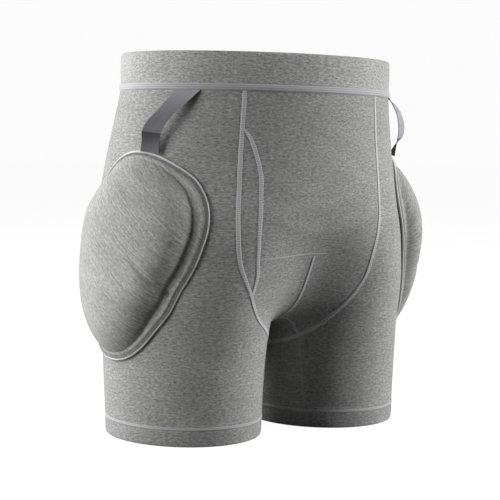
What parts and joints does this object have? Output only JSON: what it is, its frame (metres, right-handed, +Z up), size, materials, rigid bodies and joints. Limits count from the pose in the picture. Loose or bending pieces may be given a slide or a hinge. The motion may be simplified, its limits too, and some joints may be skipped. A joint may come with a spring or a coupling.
{
  "type": "padded impact shorts",
  "caption": "Knitted boxer-length under-shorts with an elastic waistband, a shaped front pouch and a domed foam pad sewn over each hip, worn under snow sports clothing.",
  "frame": {"origin": "centre of the bounding box on the floor the hems stand on", "axes": "+Z up to the waist, -Y the front (fly side), -X the wearer's right"},
  "size_m": [0.3858, 0.2486, 0.38],
  "materials": {
    "body_knit": "matt heather grey jersey knit",
    "pad_cover_knit": "matt light grey jersey knit",
    "waistband_knit": "matt heather grey knit over elastic",
    "hem_knit": "matt heather grey jersey, turned up double",
    "lining_mesh": "matt grey mesh",
    "backing_mesh": "matt dark grey tricot",
    "seam_thread": "soft pale grey flatlock thread",
    "thread": "pale grey sewing thread",
    "piping": "pale grey covered cord",
    "ribbon_webbing": "fine woven grey tape",
    "elastic": "ribbed woven elastic",
    "shell_foam": "closed-cell foam",
    "soft_foam": "open-cell foam"
  },
  "bodies": {
    "shorts": {"back_panel": "body_knit", "back_seam_left": "seam_thread", "back_seam_right": "seam_thread", "centre_seam": "seam_thread", "crotch_gusset": "body_knit", "fly_panel": "body_knit", "fly_seam": "seam_thread", "front_lining": "lining_mesh", "front_panel": "body_knit", "front_seam_left": "seam_thread", "front_seam_right": "seam_thread", "gusset_seam_back": "seam_thread", "gusset_seam_front": "seam_thread", "hem_band_left": "hem_knit", "hem_band_right": "hem_knit", "hem_stitching_left": "thread", "hem_stitching_right": "thread", "inseam_left": "seam_thread", "inseam_right": "seam_thread", "leg_panel_left": "body_knit", "leg_panel_right": "body_knit", "pad_backing_left": "backing_mesh", "pad_backing_right": "backing_mesh", "pad_cover_left": "pad_cover_knit", "pad_cover_right": "pad_cover_knit", "pad_piping_left": "piping", "pad_piping_right": "piping", "pad_shell_foam_left": "shell_foam", "pad_shell_foam_right": "shell_foam", "pad_soft_foam_left": "soft_foam", "pad_soft_foam_right": "soft_foam", "pad_stitching_left": "thread", "pad_stitching_right": "thread", "pad_topstitching_left": "thread", "pad_topstitching_right": "thread", "pouch_panel_left": "body_knit", "pouch_panel_right": "body_knit", "pouch_seam": "seam_thread", "ribbon_foot_tab_left": "ribbon_webbing", "ribbon_foot_tab_right": "ribbon_webbing", "ribbon_top_tab_left": "ribbon_webbing", "ribbon_top_tab_right": "ribbon_webbing", "waist_seam": "seam_thread", "waistband_cover": "waistband_knit", "waistband_elastic": "elastic"},
    "right_ribbon": {"ribbon_right": "ribbon_webbing"},
    "left_ribbon": {"ribbon_left": "ribbon_webbing"}
  },
  "joints": [
    {"name": "right_ribbon_swing", "type": "hinge", "parent": "shorts", "child": "right_ribbon", "pos_m": [-0.14005, -0.05502, 0.31589], "axis": [0.3824, -0.4484, 0.8079], "range_deg": [-25, 25], "stiffness_Nm_per_rad": 0.004},
    {"name": "left_ribbon_swing", "type": "hinge", "parent": "shorts", "child": "left_ribbon", "pos_m": [0.14005, -0.05502, 0.31589], "axis": [-0.3824, -0.4484, 0.8079], "range_deg": [-25, 25], "stiffness_Nm_per_rad": 0.004}
  ]
}
